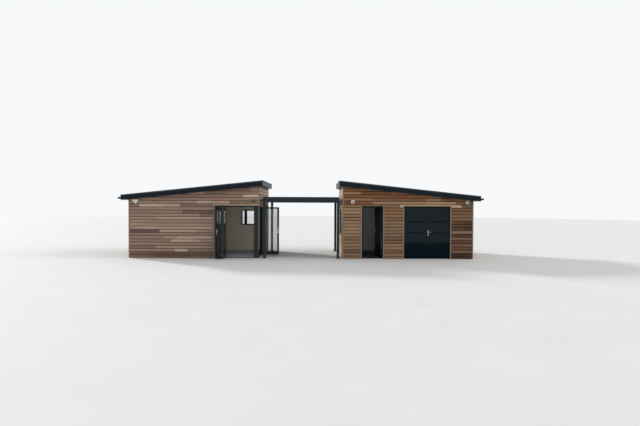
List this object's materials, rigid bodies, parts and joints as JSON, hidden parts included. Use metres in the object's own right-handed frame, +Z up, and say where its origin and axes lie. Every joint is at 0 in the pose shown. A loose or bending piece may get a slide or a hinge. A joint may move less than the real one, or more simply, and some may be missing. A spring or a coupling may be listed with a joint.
{
  "type": "garden office pod",
  "caption": "Timber-clad garden office building: a glazed room and a store with mirrored single-pitch roofs, joined by a louvred pergola over the patio between them.",
  "frame": {"origin": "middle of the building's overall box, at paving level", "axes": "+X to the right along the front, +Y from the front to the back, +Z up"},
  "size_m": [14.38, 3.678, 3.0965],
  "materials": {
    "cladding": "oiled cedar boards",
    "trims": "planed cedar trims",
    "wall_panel": "insulated panel with a painted inside face",
    "roof_panel": "insulated roof deck with a painted underside",
    "concrete": "trowelled concrete",
    "room_floor": "satin boards",
    "store_floor": "dark matt boards",
    "anthracite_metal": "satin powder coat",
    "roof_covering": "matt membrane with metal edge trims",
    "fascia": "smooth anthracite boards",
    "door_skin": "satin paint",
    "glass": "clear double glazing",
    "steel": "satin",
    "rainwater_plastic": "semi-gloss",
    "light_body": "satin powder coat",
    "white_plastic": "semi-gloss",
    "pergola_metal": "fine-textured powder coat"
  },
  "bodies": {
    "building": {"room_base": "concrete", "room_floor": "room_floor", "room_front_wall": "wall_panel", "room_front_header": "wall_panel", "room_outer_wall": "wall_panel", "room_back_wall": "wall_panel", "room_inner_pier": "wall_panel", "room_inner_header": "wall_panel", "room_cladding": "cladding", "room_trims": "trims", "room_roof_deck": "roof_panel", "room_roof_edge": "fascia", "room_roof_covering": "roof_covering", "corner_post": "anthracite_metal", "front_fold_frame": "anthracite_metal", "side_fold_frame": "anthracite_metal", "front_fold_leaves": "anthracite_metal", "side_fold_leaves": "anthracite_metal", "fold_handles": "white_plastic", "room_window_frame": "anthracite_metal", "room_glass": "glass", "store_base": "concrete", "store_floor": "store_floor", "store_front_piers": "wall_panel", "store_front_headers": "wall_panel", "store_outer_wall": "wall_panel", "store_back_wall": "wall_panel", "store_inner_wall": "wall_panel", "store_partition": "wall_panel", "store_cladding": "cladding", "store_trims": "trims", "store_roof_deck": "roof_panel", "store_roof_edge": "fascia", "store_roof_covering": "roof_covering", "single_door_frame": "door_skin", "double_door_frame": "door_skin", "store_window_frame": "anthracite_metal", "store_window_glass": "glass", "gutters": "rainwater_plastic", "downpipes": "rainwater_plastic", "wall_lights": "light_body", "security_cameras": "white_plastic", "security_light": "white_plastic", "pergola_posts": "pergola_metal", "pergola_feet": "pergola_metal", "pergola_cross_beams": "pergola_metal", "pergola_side_beams": "pergola_metal", "pergola_louvres": "pergola_metal"},
    "single_door": {"single_door_leaf": "door_skin", "single_door_handles": "steel"},
    "double_door_left": {"double_door_left_leaf": "door_skin"},
    "double_door_right": {"double_door_right_leaf": "door_skin", "double_door_handles": "steel"}
  },
  "joints": [
    {"name": "single_door_hinge", "type": "hinge", "parent": "building", "child": "single_door", "pos_m": [3.2165, -1.26, 0.036], "axis": [0, 0, 1], "range_deg": [-8, 80]},
    {"name": "double_door_left_hinge", "type": "hinge", "parent": "building", "child": "double_door_left", "pos_m": [4.1535, -1.393, 0.036], "axis": [0, 0, -1], "range_deg": [0, 100]},
    {"name": "double_door_right_hinge", "type": "hinge", "parent": "building", "child": "double_door_right", "pos_m": [5.8765, -1.393, 0.036], "axis": [0, 0, 1], "range_deg": [0, 100]}
  ]
}
